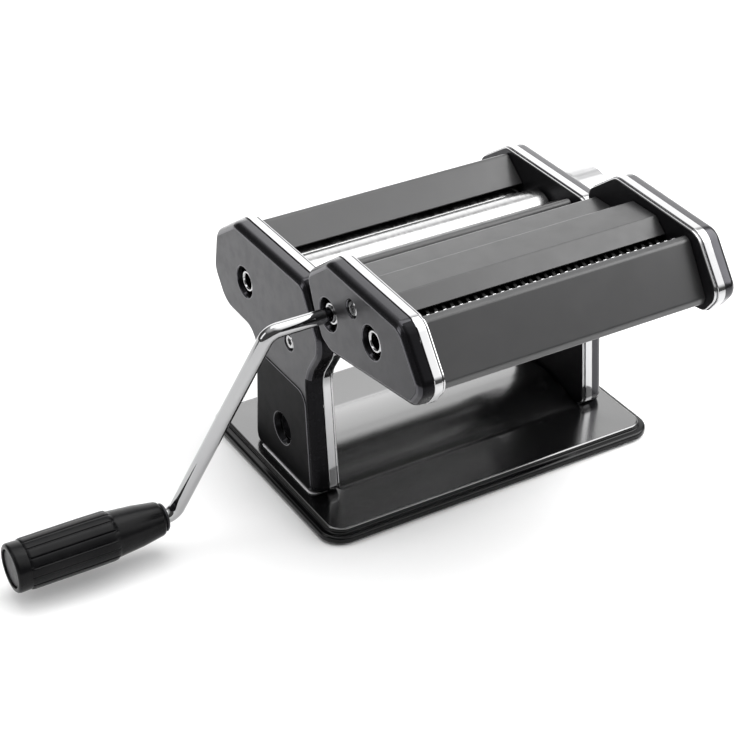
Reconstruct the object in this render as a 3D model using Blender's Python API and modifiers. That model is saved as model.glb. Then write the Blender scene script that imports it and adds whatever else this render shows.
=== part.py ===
"""Pasta roller machine: two-legged body with sheet rollers, and a lift-off cutter attachment.

Frame: metres, +Z up. The origin is the centre of the base on the table plane. X runs along the
rollers, with the crank at -X and the thickness knob at +X. -Y is the front, where the cutter
attachment hangs. Every section is given in the Y-Z plane, in millimetres.
"""
import math

import bmesh
import bpy
from mathutils import Matrix, Vector

MM = 0.001
YZ_PLANE = (math.pi / 2, 0.0, math.pi / 2)   # local x, y, z become world Y, Z, X
GAP = 0.3                                    # free gap between touching pieces
CORNER_STEPS = 2                             # segments of each outline corner

# Base
BASE_HALF = (100.4, 68.4)
BASE_CORNER = 12.6
BASE_RIM_Z = 1.4
BASE_TOP_Z = 7.4
BASE_SHEET = 1.0
HUMP_HALF = (75.4, 34.8)
HUMP_TOP_Z = 14.2
HUMP_CORNER = 2.0
HUMP_DRAFT = 1.2                             # how far the ends of the hump lean inward
HUMP_STEPS = 5
FOOT_PLACES = ((-84.0, -53.0), (84.0, -53.0), (-84.0, 53.0), (84.0, 53.0))
FOOT_RADIUS = 8.0
FOOT_STEM = 3.2
FOOT_STEPS = 16
LEG_BOLT_Y = (-2.0,)
LEG_BOLT_X = 79.6

# Side frames and covers, distances from the middle plane
WEB_X = 76.0
WEB_SHEET = 1.1
FLANGE_X = 82.2
COVER_X = 83.0
FACE_X = 90.0
COVER_WALL = 1.8
FLOOR_Z = 7.8                                # lowest edge of the legs, just above the base
FLOOR_CORNER = 5.0                           # corner radius of the legs at that edge

# Outline corners of the outer faces: Y, Z, corner radius
BODY_CORNERS = (
    (46.4, 125.3, 6.5), (-22.0, 125.3, 3.5), (-38.4, 98.8, 8.0), (-24.2, 77.4, 18.0),
    (-30.6, 8.6, 4.5), (28.0, 8.6, 2.7), (24.3, 76.5, 12.6), (59.4, 77.4, 12.6),
    (70.0, 91.8, 9.0), (66.6, 111.6, 4.5),
)
CUTTER_CORNERS = (
    (-29.7, 135.9, 4.5), (-49.1, 150.5, 7.0), (-112.7, 148.9, 5.4), (-130.1, 126.0, 4.5),
    (-123.3, 116.6, 5.4), (-51.3, 105.5, 7.2), (-43.3, 108.5, 5.4), (-35.6, 121.5, 13.0),
)
BODY_FRAME_GROW = 4.8
BODY_COVER_GROW = 3.6
CUTTER_FRAME_GROW = 3.3
CUTTER_COVER_GROW = 2.4

# Axes, all parallel to X: Y, Z
REAR_ROLLER = (37.4, 99.0)
FRONT_ROLLER = (11.0, 106.3)
WIDE_DRIVE = (-49.5, 124.4)
WIDE_IDLE = (-67.8, 127.0)
NARROW_DRIVE = (-89.4, 130.1)
NARROW_IDLE = (-107.3, 125.5)
BODY_SCREW = (-9.1, 87.8)
CUTTER_SCREW = (-71.5, 138.9)
CLAMP_HOLE = (-0.7, 31.2)

# Rollers and cutters
ROLLER_HALF = 74.8
ROLLER_RADIUS = 13.5
ROLLER_TRAVEL = 2.25
JOURNAL_RADIUS = 4.5
CUTTER_HALF = 74.0
CUTTER_RADIUS = 9.8
CUTTER_GROOVE = 7.6
WIDE_PITCH = 6.5
RING_PLAY = 0.7
SHAFT_RADIUS = 4.0
SOCKET_RADIUS = 5.9
SOCKET_BORE = 3.95
SOCKET_X = (-88.2, -78.2)
PORT_RADIUS = 8.5

# Gears
ROLLER_GEAR_TEETH = 16
CUTTER_GEAR_TEETH = 14
GEAR_X = (77.8, 81.6)

# Crank
ROD_RADIUS = 3.6
CRANK_BEND_X = -121.5
GRIP_BEND_X = -164.2
GRIP_AXIS = (-23.7, 19.4)
GRIP_X = (-250.6, -171.5)
ROD_END_X = -186.0

# Thickness knob
KNOB_X = (91.2, 112.5)
KNOB_RADIUS = 18.0


# ---------------------------------------------------------------- materials
def material(name, colour, metallic, roughness):
    mat = bpy.data.materials.new(name)
    mat.use_nodes = True
    shader = mat.node_tree.nodes["Principled BSDF"]
    shader.inputs["Base Color"].default_value = (*colour, 1.0)
    shader.inputs["Metallic"].default_value = metallic
    shader.inputs["Roughness"].default_value = roughness
    return mat


def black_plastic():
    return material("black_plastic", (0.022, 0.021, 0.024), 0.0, 0.38)


def gloss_black():
    return material("gloss_black", (0.012, 0.012, 0.013), 0.0, 0.16)


def chromed_steel():
    return material("chromed_steel", (0.86, 0.86, 0.87), 1.0, 0.07)


def painted_steel():
    return material("painted_steel", (0.045, 0.045, 0.048), 0.35, 0.42)


def ground_steel():
    return material("ground_steel", (0.62, 0.62, 0.63), 1.0, 0.24)


def gear_steel():
    return material("gear_steel", (0.42, 0.42, 0.43), 1.0, 0.38)


def bush_plastic():
    return material("bush_plastic", (0.72, 0.70, 0.64), 0.0, 0.5)


def foot_rubber():
    return material("foot_rubber", (0.02, 0.02, 0.02), 0.0, 0.8)


def base_paint():
    return material("base_paint", (0.010, 0.010, 0.011), 0.1, 0.12)


# ---------------------------------------------------------------- scene
def clear_scene():
    for obj in list(bpy.data.objects):
        bpy.data.objects.remove(obj, do_unlink=True)


def new_collection(name):
    collection = bpy.data.collections.new(name)
    bpy.context.scene.collection.children.link(collection)
    return collection


def add_object(name, mesh, finish=None):
    """Link a mesh as one named piece with one material of its own."""
    obj = bpy.data.objects.new(name, mesh)
    PARTS.objects.link(obj)
    if finish is not None:
        mat = finish()
        mat.name = name + "_mat"
        obj.data.materials.clear()
        obj.data.materials.append(mat)
    return obj


def smooth(obj, angle=35.0):
    obj.data.shade_smooth()
    obj.data.set_sharp_from_angle(angle=math.radians(angle))
    return obj


def on_axis(obj, x, axis):
    """Place a piece whose local z is the roller direction."""
    obj.rotation_euler = YZ_PLANE
    obj.location = (x * MM, axis[0] * MM, axis[1] * MM)
    return obj


# ---------------------------------------------------------------- outlines
def unit(vector):
    return vector / vector.length


def corner_arc(before, corner, after, radius, steps):
    """Points of a rounded corner between two straight edges."""
    d_in = unit(corner - before)
    d_out = unit(after - corner)
    turn = math.atan2(d_in.x * d_out.y - d_in.y * d_out.x, d_in.dot(d_out))
    if abs(turn) < 1e-4 or radius <= 0.0:
        return [corner]
    side = 1.0 if turn > 0.0 else -1.0
    reach = radius * math.tan(abs(turn) / 2)
    start = corner - d_in * reach
    centre = start + Vector((-d_in.y, d_in.x)) * side * radius
    arm = start - centre
    points = []
    for i in range(steps + 1):
        angle = turn * i / steps
        points.append(centre + Matrix.Rotation(angle, 2) @ arm)
    return points


def outline(corners, grow=0.0, floor=None, steps=CORNER_STEPS):
    """Closed counterclockwise outline with rounded corners, moved outward by grow.

    With a floor, the lowest corners stay on it whatever the growth.
    """
    if floor is not None:
        corners = [(c[0], floor + grow, FLOOR_CORNER - grow) if c[1] < floor + 2.0 else c
                   for c in corners]
    count = len(corners)
    base = [Vector((c[0], c[1])) for c in corners]
    moved = []
    radii = []
    for i in range(count):
        d_in = unit(base[i] - base[i - 1])
        d_out = unit(base[(i + 1) % count] - base[i])
        n_in = Vector((d_in.y, -d_in.x))
        n_out = Vector((d_out.y, -d_out.x))
        moved.append(base[i] + (n_in + n_out) * (grow / (1.0 + n_in.dot(n_out))))
        convex = d_in.x * d_out.y - d_in.y * d_out.x > 0.0
        radii.append(max(corners[i][2] + (grow if convex else -grow), 0.4))
    points = []
    for i in range(count):
        points += corner_arc(moved[i - 1], moved[i], moved[(i + 1) % count], radii[i], steps)
    return points


def rounded_line(points, radius, steps=3):
    """Open section line with rounded bends."""
    line = [Vector(p) for p in points]
    result = [line[0]]
    for i in range(1, len(line) - 1):
        result += corner_arc(line[i - 1], line[i], line[i + 1], radius, steps)
    result.append(line[-1])
    return result


def rounded_rectangle(half_x, half_y, radius, steps=3):
    corners = ((half_x, half_y, radius), (-half_x, half_y, radius),
               (-half_x, -half_y, radius), (half_x, -half_y, radius))
    return outline(corners, steps=steps)


def circle(radius, centre=(0.0, 0.0), steps=24):
    turn = [2 * math.pi * i / steps for i in range(steps)]
    return [Vector((centre[0] + radius * math.cos(a), centre[1] + radius * math.sin(a)))
            for a in turn]


# ---------------------------------------------------------------- shapes
def ring_surface(name, rings, finish, thickness):
    """Open sheet through matching rings, closed by a face on the last one, given a thickness."""
    bm = bmesh.new()
    loops = [[bm.verts.new(Vector(p) * MM) for p in ring] for ring in rings]
    count = len(loops[0])
    for low, high in zip(loops, loops[1:]):
        for i in range(count):
            j = (i + 1) % count
            bm.faces.new((low[i], low[j], high[j], high[i]))
    bm.faces.new(loops[-1])
    mesh = bpy.data.meshes.new(name)
    bm.to_mesh(mesh)
    bm.free()
    obj = add_object(name, mesh, finish)
    shell = obj.modifiers.new("sheet", 'SOLIDIFY')
    shell.thickness = thickness * MM
    shell.offset = -1.0
    shell.use_even_offset = True
    return smooth(obj)


def flat_solid(name, loops, x_range, finish=None):
    """Solid between two X planes, from closed loops in the Y-Z plane; inner loops are holes."""
    curve = bpy.data.curves.new(name, 'CURVE')
    curve.dimensions = '2D'
    curve.fill_mode = 'BOTH'
    curve.extrude = 0.5 * (x_range[1] - x_range[0]) * MM
    for loop in loops:
        spline = curve.splines.new('POLY')
        spline.points.add(len(loop) - 1)
        for point, place in zip(spline.points, loop):
            point.co = (place[0] * MM, place[1] * MM, 0.0, 1.0)
        spline.use_cyclic_u = True
    guide = bpy.data.objects.new(name + "_outline", curve)
    PARTS.objects.link(guide)
    obj = add_object(name, curve_mesh(guide), finish)
    return on_axis(obj, 0.5 * (x_range[0] + x_range[1]), (0.0, 0.0))


def curve_mesh(guide):
    """Welded mesh of a curve object, which is removed."""
    bpy.context.view_layer.update()
    depsgraph = bpy.context.evaluated_depsgraph_get()
    mesh = bpy.data.meshes.new_from_object(guide.evaluated_get(depsgraph))
    bm = bmesh.new()
    bm.from_mesh(mesh)
    bmesh.ops.remove_doubles(bm, verts=bm.verts, dist=1e-6)
    bm.to_mesh(mesh)
    bm.free()
    bpy.data.objects.remove(guide, do_unlink=True)
    return mesh


def bent_sheet(name, section, half_width, finish, thickness=1.0, bend=2.0):
    """Sheet-metal strip along X with a bent section."""
    line = rounded_line(section, bend)
    bm = bmesh.new()
    left = [bm.verts.new((-half_width * MM, p.x * MM, p.y * MM)) for p in line]
    right = [bm.verts.new((half_width * MM, p.x * MM, p.y * MM)) for p in line]
    for i in range(len(line) - 1):
        bm.faces.new((left[i], right[i], right[i + 1], left[i + 1]))
    mesh = bpy.data.meshes.new(name)
    bm.to_mesh(mesh)
    bm.free()
    obj = add_object(name, mesh, finish)
    shell = obj.modifiers.new("sheet", 'SOLIDIFY')
    shell.thickness = thickness * MM
    shell.offset = 0.0
    return smooth(obj)


def turned(name, profile, axis, finish, steps=14):
    """Solid turned about a line along X; profile is (radius, X) from the +X end to the -X end."""
    closed = profile[0][0] > 0.0
    bm = bmesh.new()
    verts = [bm.verts.new((radius * MM, 0.0, x * MM)) for radius, x in profile]
    for a, b in zip(verts, verts[1:]):
        bm.edges.new((a, b))
    if closed:
        bm.edges.new((verts[-1], verts[0]))
    mesh = bpy.data.meshes.new(name)
    bm.to_mesh(mesh)
    bm.free()
    obj = add_object(name, mesh, finish)
    screw = obj.modifiers.new("turn", 'SCREW')
    screw.steps = steps
    screw.render_steps = steps
    screw.use_merge_vertices = True
    screw.merge_threshold = 0.000005
    screw.use_smooth_shade = False
    return on_axis(obj, 0.0, axis)


def upright(name, profile, place, finish, steps=12):
    """Solid turned about a vertical line; profile is (radius, Z) from top to bottom."""
    obj = turned(name, profile, (0.0, 0.0), finish, steps)
    obj.rotation_euler = (0.0, 0.0, 0.0)
    obj.location = (place[0] * MM, place[1] * MM, 0.0)
    return obj


def bored_disc(outer, inner, x_range, chamfer=0.2):
    """Profile of a chamfered ring."""
    low, high = x_range
    return ((inner, high), (outer - chamfer, high), (outer, high - chamfer),
            (outer, low + chamfer), (outer - chamfer, low), (inner, low))


def cut(target, cutter):
    """Subtract a cutter from a piece."""
    for collection in list(cutter.users_collection):
        collection.objects.unlink(cutter)
    CUTTERS.objects.link(cutter)
    cutter.hide_render = True
    cutter.display_type = 'WIRE'
    boolean = target.modifiers.new(cutter.name, 'BOOLEAN')
    boolean.operation = 'DIFFERENCE'
    boolean.solver = 'EXACT'
    boolean.object = cutter


def drill(target, name, axis, radius, x_range, wide=None, steps=14):
    """Round hole along X, opening out to the wide radius at the first X."""
    first = radius if wide is None else wide
    profile = [(0.0, x_range[1]), (radius, x_range[1]), (first, x_range[0]), (0.0, x_range[0])]
    if x_range[0] > x_range[1]:
        profile.reverse()
    cut(target, turned(name, profile, axis, None, steps))


# ---------------------------------------------------------------- base
def hump_levels():
    """End inset, half depth and height of each contour of the low arched hump."""
    rise = HUMP_TOP_Z - BASE_TOP_Z
    radius = (HUMP_HALF[1] ** 2 + rise ** 2) / (2.0 * rise)
    levels = [(0.0, HUMP_HALF[1], BASE_TOP_Z)]
    for step in range(1, HUMP_STEPS + 1):
        half_y = HUMP_HALF[1] * (1.0 - step / (HUMP_STEPS + 1.0))
        drop = radius - math.sqrt(radius ** 2 - half_y ** 2)
        levels.append((HUMP_DRAFT * step / HUMP_STEPS, half_y, HUMP_TOP_Z - drop))
    return levels


def make_base():
    levels = ((0.0, BASE_RIM_Z), (0.0, 4.2), (1.3, 5.2), (3.2, 5.5), (4.0, 6.9), (5.2, BASE_TOP_Z))
    rings = []
    for inset, z in levels:
        ring = rounded_rectangle(BASE_HALF[0] - inset, BASE_HALF[1] - inset, BASE_CORNER - inset)
        rings.append([(p.x, p.y, z) for p in ring])
    for inset_x, half_y, z in hump_levels():
        ring = rounded_rectangle(HUMP_HALF[0] - inset_x, half_y, HUMP_CORNER)
        rings.append([(p.x, p.y, z) for p in ring])
    base = ring_surface("base_plate", rings, base_paint, BASE_SHEET)
    for i, (x, y) in enumerate(leg_bolt_places()):
        hole = upright("base_bolt_hole_%d" % i, ((0.0, 12.0), (2.1, 12.0), (2.1, 2.0), (0.0, 2.0)),
                       (x, y), None, 12)
        cut(base, hole)


def make_bottom_plate():
    ring = rounded_rectangle(BASE_HALF[0] - 2.0, BASE_HALF[1] - 2.0, BASE_CORNER - 2.0)
    plate = flat_solid("bottom_plate", [ring], (BASE_RIM_Z, BASE_RIM_Z + 0.9), painted_steel)
    plate.rotation_euler = (0.0, 0.0, 0.0)
    plate.location = (0.0, 0.0, (BASE_RIM_Z + 0.45) * MM)
    radius = FOOT_RADIUS + 2.0 * GAP
    profile = ((0.0, 4.0), (radius, 4.0), (radius, 0.0), (0.0, 0.0))
    for i, place in enumerate(FOOT_PLACES):
        cut(plate, upright("foot_hole_%d" % i, profile, place, None, FOOT_STEPS))


def make_feet():
    """Rubber pads under the top sheet, which reach down through holes in the bottom plate."""
    top = BASE_TOP_Z - BASE_SHEET - 0.1
    shoulder = 2.8
    profile = ((0.0, top), (FOOT_STEM, top), (FOOT_STEM, shoulder), (FOOT_RADIUS - 0.6, shoulder),
               (FOOT_RADIUS, shoulder - 0.4), (FOOT_RADIUS, 0.6), (FOOT_RADIUS - 0.6, 0.0),
               (0.0, 0.0))
    for i, place in enumerate(FOOT_PLACES):
        upright("foot_%d" % (i + 1), profile, place, foot_rubber, FOOT_STEPS)


def leg_bolt_places():
    return [(side * LEG_BOLT_X, y) for side in (-1, 1) for y in LEG_BOLT_Y]


def make_leg_bolts():
    profile = ((0.0, 11.2), (1.4, 11.2), (1.7, 10.8), (1.7, 6.0), (3.3, 6.0), (3.3, 3.4), (0.0, 3.4))
    for i, place in enumerate(leg_bolt_places()):
        upright("leg_bolt_%d" % (i + 1), profile, place, gear_steel, 12)


# ---------------------------------------------------------------- side frames and covers
def side_rings(corners, levels, side, floor):
    """Outlines at each (X, grow) level, wound so that the sheet's faces point outward."""
    rings = []
    closing_outward = levels[-1][0] > levels[0][0]
    for x, grow in levels:
        ring = [(side * x, p.x, p.y) for p in outline(corners, grow, floor)]
        if (side > 0) != closing_outward:
            ring.reverse()
        rings.append(ring)
    return rings


def make_frame(name, corners, grow, side, floor, holes):
    """Pressed pan: flat web towards the rollers, flange turned outward all round."""
    levels = ((FLANGE_X, grow), (WEB_X + 1.6, grow), (WEB_X + 0.5, grow - 0.4), (WEB_X, grow - 1.5))
    frame = ring_surface(name, side_rings(corners, levels, side, floor), chromed_steel, WEB_SHEET)
    for i, (axis, radius) in enumerate(holes):
        drill(frame, "%s_hole_%d" % (name, i), axis, radius, (side * 72.0, side * 79.5))
    return frame


def make_cover(name, corners, grow, side, floor, ports):
    """Moulded cap over the frame: drafted side wall, soft shoulder, flat outer face."""
    levels = ((COVER_X, grow), (87.2, grow - 0.7), (88.9, grow - 1.6), (89.8, grow - 3.0),
              (FACE_X, grow - 4.2))
    cover = ring_surface(name, side_rings(corners, levels, side, floor), black_plastic, COVER_WALL)
    for i, (axis, radius, wide) in enumerate(ports):
        drill(cover, "%s_port_%d" % (name, i), axis, radius, (side * 90.2, side * 84.0), wide)
    return cover


def make_roller_slot(frame, side):
    """Lets the front roller's journal blocks move away from the rear roller."""
    line = unit(Vector(FRONT_ROLLER) - Vector(REAR_ROLLER))
    across = Vector((-line.y, line.x))
    radius = 7.6
    far = Vector(FRONT_ROLLER) + line * ROLLER_TRAVEL
    points = []
    for centre, start in ((Vector(FRONT_ROLLER), -1), (far, 1)):
        for i in range(9):
            angle = math.pi * i / 8
            points.append(centre + radius * (across * math.cos(angle) * -start
                                             + line * math.sin(angle) * start))
    x_range = sorted((side * 73.0, side * 79.0))
    cut(frame, flat_solid("roller_slot_%s" % frame.name, [points], x_range))


def make_body_sides():
    for side, word in ((-1, "left"), (1, "right")):
        holes = [(REAR_ROLLER, 7.3), (BODY_SCREW, 2.6), (CLAMP_HOLE, 6.6)]
        frame = make_frame("body_frame_" + word, BODY_CORNERS, BODY_FRAME_GROW, side, FLOOR_Z, holes)
        make_roller_slot(frame, side)
        for i, (x, y) in enumerate(leg_bolt_places()):
            if x * side > 0:
                hole = upright("leg_hole_%d" % i, ((0.0, 14.0), (2.1, 14.0), (2.1, 5.0), (0.0, 5.0)),
                               (x, y), None, 12)
                cut(frame, hole)
        ports = [(BODY_SCREW, 4.4, 4.8), (CLAMP_HOLE, 6.6, PORT_RADIUS)]
        if side < 0:
            ports.append((REAR_ROLLER, 7.0, PORT_RADIUS))
        else:
            ports.append((FRONT_ROLLER, 8.2, 8.2))
        make_cover("body_cover_" + word, BODY_CORNERS, BODY_COVER_GROW, side, FLOOR_Z, ports)


def make_cutter_sides():
    axes = (WIDE_DRIVE, WIDE_IDLE, NARROW_DRIVE, NARROW_IDLE)
    for side, word in ((-1, "left"), (1, "right")):
        holes = [(axis, 4.4) for axis in axes] + [(CUTTER_SCREW, 2.0)]
        make_frame("cutter_frame_" + word, CUTTER_CORNERS, CUTTER_FRAME_GROW, side, None, holes)
        ports = [(CUTTER_SCREW, 4.2, 4.6)]
        if side < 0:
            ports += [(WIDE_DRIVE, 7.0, PORT_RADIUS), (NARROW_DRIVE, 7.0, PORT_RADIUS)]
        make_cover("cutter_cover_" + word, CUTTER_CORNERS, CUTTER_COVER_GROW, side, None, ports)


def make_screws():
    """Socket-head screws that hold the covers, one at each end of a tie rod."""
    for name, axis in (("body_screw", BODY_SCREW), ("cutter_screw", CUTTER_SCREW)):
        for side, word in ((-1, "left"), (1, "right")):
            profile = ((0.0, 88.0), (1.8, 88.0), (1.8, 89.6), (3.6, 89.6), (3.9, 89.2), (3.9, 86.8),
                       (1.5, 86.8), (1.5, 79.5), (0.0, 79.5))
            if side < 0:
                profile = tuple((r, -x) for r, x in reversed(profile))
            turned("%s_%s" % (name, word), profile, axis, chromed_steel, 12)


def make_tie_rods():
    radius = 3.2
    end = 1.8
    profile = ((0.0, 79.0), (end, 79.0), (end, 75.6), (radius, 75.6), (radius, -75.6),
               (end, -75.6), (end, -79.0), (0.0, -79.0))
    turned("body_tie_rod", profile, BODY_SCREW, ground_steel, 16)


# ---------------------------------------------------------------- body works
def make_hoppers():
    rear = ((30.0, 115.6), (44.8, 127.0), (62.6, 113.0), (66.4, 92.4), (57.6, 79.8), (46.0, 79.8))
    front = ((-1.0, 118.6), (-15.6, 127.0), (-24.5, 113.5), (-31.5, 102.8))
    bent_sheet("hopper_rear", rear, 75.6, painted_steel)
    bent_sheet("hopper_front", tuple(reversed(front)), 73.6, painted_steel)


def roller_profile(left_end, right_end):
    return ((0.0, right_end), (SHAFT_RADIUS, right_end), (SHAFT_RADIUS, 79.0 - 1.4),
            (JOURNAL_RADIUS, 79.0 - 1.4), (JOURNAL_RADIUS, ROLLER_HALF),
            (ROLLER_RADIUS - 0.8, ROLLER_HALF), (ROLLER_RADIUS, ROLLER_HALF - 0.8),
            (ROLLER_RADIUS, -ROLLER_HALF + 0.8), (ROLLER_RADIUS - 0.8, -ROLLER_HALF),
            (JOURNAL_RADIUS, -ROLLER_HALF), (JOURNAL_RADIUS, left_end), (0.0, left_end))


def make_sheet_rollers():
    turned("sheet_roller_rear", roller_profile(-77.9, 82.4), REAR_ROLLER, ground_steel, 28)
    turned("sheet_roller_front", roller_profile(-77.9, 82.4), FRONT_ROLLER, ground_steel, 28)
    for side, word in ((-1, "left"), (1, "right")):
        x_range = sorted((side * 75.1, side * 77.5))
        turned("bush_rear_" + word, bored_disc(6.95, 4.8, x_range), REAR_ROLLER, bush_plastic)
        turned("bush_front_" + word, bored_disc(7.2, 4.8, x_range), FRONT_ROLLER, bush_plastic)


def make_scrapers():
    """Steel strips that keep the dough from following the rollers round."""
    for name, axis, lean in (("scraper_rear", REAR_ROLLER, 0.5), ("scraper_front", FRONT_ROLLER, -0.5)):
        down = Vector((lean, -math.sqrt(1 - lean * lean)))
        across = Vector((-down.y, down.x))
        middle = Vector(axis) + down * 15.9
        section = [middle - across * 5.0, middle, middle + across * 5.0]
        bent_sheet(name, section, 75.0, ground_steel, 0.8, 0.0)


def tooth_outline(teeth, pitch_radius, above, below, phase):
    """Trapezoid teeth with backlash, four points to a tooth."""
    points = []
    step = 2 * math.pi / teeth
    for i in range(teeth):
        middle = phase + i * step
        for offset, radius in ((-0.30, pitch_radius - below), (-0.12, pitch_radius + above),
                               (0.12, pitch_radius + above), (0.30, pitch_radius - below)):
            angle = middle + offset * step
            points.append(Vector((radius * math.cos(angle), radius * math.sin(angle))))
    return points


def make_gear(name, axis, teeth, pitch_radius, depth, phase, bore):
    points = tooth_outline(teeth, pitch_radius, depth[0], depth[1], phase)
    gear = flat_solid(name, [points, circle(bore, steps=10)], GEAR_X, gear_steel)
    return on_axis(gear, 0.5 * sum(GEAR_X), axis)


def make_gear_pair(names, axes, teeth, depth, bore):
    """Two equal gears: a tooth of the first points at a gap of the second."""
    line = Vector(axes[1]) - Vector(axes[0])
    pitch_radius = 0.5 * line.length
    angle = math.atan2(line.y, line.x)
    make_gear(names[0], axes[0], teeth, pitch_radius, depth, angle, bore)
    half_step = math.pi / teeth
    make_gear(names[1], axes[1], teeth, pitch_radius, depth, angle + math.pi + half_step, bore)


def make_gears():
    make_gear_pair(("roller_gear_rear", "roller_gear_front"), (REAR_ROLLER, FRONT_ROLLER),
                   ROLLER_GEAR_TEETH, (1.3, 2.1), SHAFT_RADIUS + 0.35)
    make_gear_pair(("wide_gear_drive", "wide_gear_idle"), (WIDE_DRIVE, WIDE_IDLE),
                   CUTTER_GEAR_TEETH, (0.95, 1.4), SHAFT_RADIUS + 0.35)
    make_gear_pair(("narrow_gear_drive", "narrow_gear_idle"), (NARROW_DRIVE, NARROW_IDLE),
                   CUTTER_GEAR_TEETH, (0.95, 1.4), SHAFT_RADIUS + 0.35)


def make_sockets():
    low, high = SOCKET_X
    profile = ((SOCKET_BORE, high), (SOCKET_RADIUS, high), (SOCKET_RADIUS, low + 0.6),
               (SOCKET_RADIUS - 0.6, low), (SOCKET_BORE + 0.5, low), (SOCKET_BORE, low + 0.5))
    for name, axis in (("socket_sheet_rollers", REAR_ROLLER), ("socket_wide_cutters", WIDE_DRIVE),
                       ("socket_narrow_cutters", NARROW_DRIVE)):
        turned(name, profile, axis, chromed_steel)


def make_regulator():
    shaft = ((0.0, 109.4), (3.4, 109.4), (3.4, 87.5), (7.6, 87.5), (7.6, 83.4), (0.0, 83.4))
    turned("regulator_shaft", shaft, FRONT_ROLLER, ground_steel)
    low, high = KNOB_X
    knob = ((3.75, high - 2.6), (6.4, high - 2.6), (6.4, high), (KNOB_RADIUS - 2.2, high),
            (KNOB_RADIUS, high - 2.2), (KNOB_RADIUS, low + 2.0), (KNOB_RADIUS - 2.0, low),
            (KNOB_RADIUS - 5.0, low), (KNOB_RADIUS - 5.0, low + 7.0), (8.2, low + 7.0), (8.2, low),
            (3.75, low))
    turned("regulator_knob", knob, FRONT_ROLLER, chromed_steel, 20)
    cap = ((0.0, high - 0.5), (4.6, high - 0.5), (5.9, high - 1.2), (5.9, high - 2.25),
           (0.0, high - 2.25))
    turned("knob_cap", cap, FRONT_ROLLER, black_plastic, 16)


# ---------------------------------------------------------------- cutter attachment
def make_cutter_plates():
    guide = ((-41.6, 110.6), (-36.6, 122.0), (-33.2, 136.0), (-51.6, 136.4))
    bar = ((-64.6, 139.4), (-64.6, 147.3), (-83.3, 147.5), (-91.2, 141.2))
    front = ((-102.6, 143.4), (-106.4, 147.4), (-109.6, 146.6), (-125.0, 122.4), (-124.0, 118.6),
             (-119.6, 117.9))
    bent_sheet("cutter_guide_plate", guide, 75.6, painted_steel)
    bent_sheet("cutter_centre_bar", bar, 75.6, painted_steel, 1.0, 1.0)
    bent_sheet("cutter_front_cover", front, 75.6, painted_steel, 1.0, 1.6)


def cutter_shaft(left_end):
    right = ((0.0, 82.4), (SHAFT_RADIUS, 82.4), (SHAFT_RADIUS, CUTTER_HALF))
    left = ((SHAFT_RADIUS, -CUTTER_HALF), (SHAFT_RADIUS, left_end), (0.0, left_end))
    return right, left


def ringed_profile(offset):
    """Ring cutter: rings and grooves of equal width; offset shifts the rings by one groove."""
    right, left = cutter_shaft(-77.9)
    half_ring = 0.5 * (WIDE_PITCH - RING_PLAY)
    limit = CUTTER_HALF - 0.2
    count = int(CUTTER_HALF // (2 * WIDE_PITCH)) + 1
    body = [(CUTTER_GROOVE, CUTTER_HALF)]
    for k in range(count, -count - 1, -1):
        middle = (2 * k + offset) * WIDE_PITCH
        high = min(middle + half_ring, limit)
        low = max(middle - half_ring, -limit)
        if high - low > 1.0:
            body += [(CUTTER_GROOVE, high), (CUTTER_RADIUS, high), (CUTTER_RADIUS, low),
                     (CUTTER_GROOVE, low)]
    body.append((CUTTER_GROOVE, -CUTTER_HALF))
    return right + tuple(body) + left


def plain_cutter_profile(radius):
    right, left = cutter_shaft(-77.9)
    return right + ((radius, CUTTER_HALF), (radius, -CUTTER_HALF)) + left


def make_cutters():
    turned("wide_cutter_drive", ringed_profile(0), WIDE_DRIVE, ground_steel, 12)
    turned("wide_cutter_idle", ringed_profile(1), WIDE_IDLE, ground_steel, 12)
    turned("narrow_cutter_drive", plain_cutter_profile(9.05), NARROW_DRIVE, ground_steel, 20)
    turned("narrow_cutter_idle", plain_cutter_profile(9.05), NARROW_IDLE, ground_steel, 20)


def make_combs():
    """Comb strips under the cutters, on the side away from each nip."""
    places = (("comb_wide_drive", WIDE_DRIVE, 0.55), ("comb_wide_idle", WIDE_IDLE, -0.45),
              ("comb_narrow_drive", NARROW_DRIVE, 0.45), ("comb_narrow_idle", NARROW_IDLE, -0.62))
    for name, axis, lean in places:
        down = Vector((lean, -math.sqrt(1 - lean * lean)))
        across = Vector((-down.y, down.x))
        middle = Vector(axis) + down * 11.3
        section = [middle - across * 2.8, middle, middle + across * 2.8]
        bent_sheet(name, section, 75.4, ground_steel, 1.2, 0.0)


def make_rail_hooks():
    """Tongues on the attachment that slide down behind the body's slanted front edge."""
    along = unit(Vector((20.8, 31.7)))
    inward = Vector((along.y, -along.x))
    low = Vector((-45.6, 103.0))
    points = [low, low + inward * 12.0, low + inward * 12.0 + along * 15.0, low + along * 15.0]
    for side, word in ((-1, "left"), (1, "right")):
        x_range = sorted((side * 74.1, side * 75.6))
        flat_solid("rail_hook_" + word, [list(points)], x_range, chromed_steel)


# ---------------------------------------------------------------- crank
def rounded_path(points, radius, steps):
    line = [Vector(p) for p in points]
    result = [line[0]]
    for before, corner, after in zip(line, line[1:], line[2:]):
        d_in = unit(corner - before)
        d_out = unit(after - corner)
        turn = d_in.angle(d_out)
        reach = radius * math.tan(turn / 2)
        inward = unit(d_out - d_in)
        centre = corner + inward * (radius / math.cos(turn / 2))
        start = corner - d_in * reach - centre
        axis = d_in.cross(d_out)
        for i in range(steps + 1):
            result.append(centre + Matrix.Rotation(turn * i / steps, 3, axis) @ start)
    result.append(line[-1])
    return result


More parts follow.
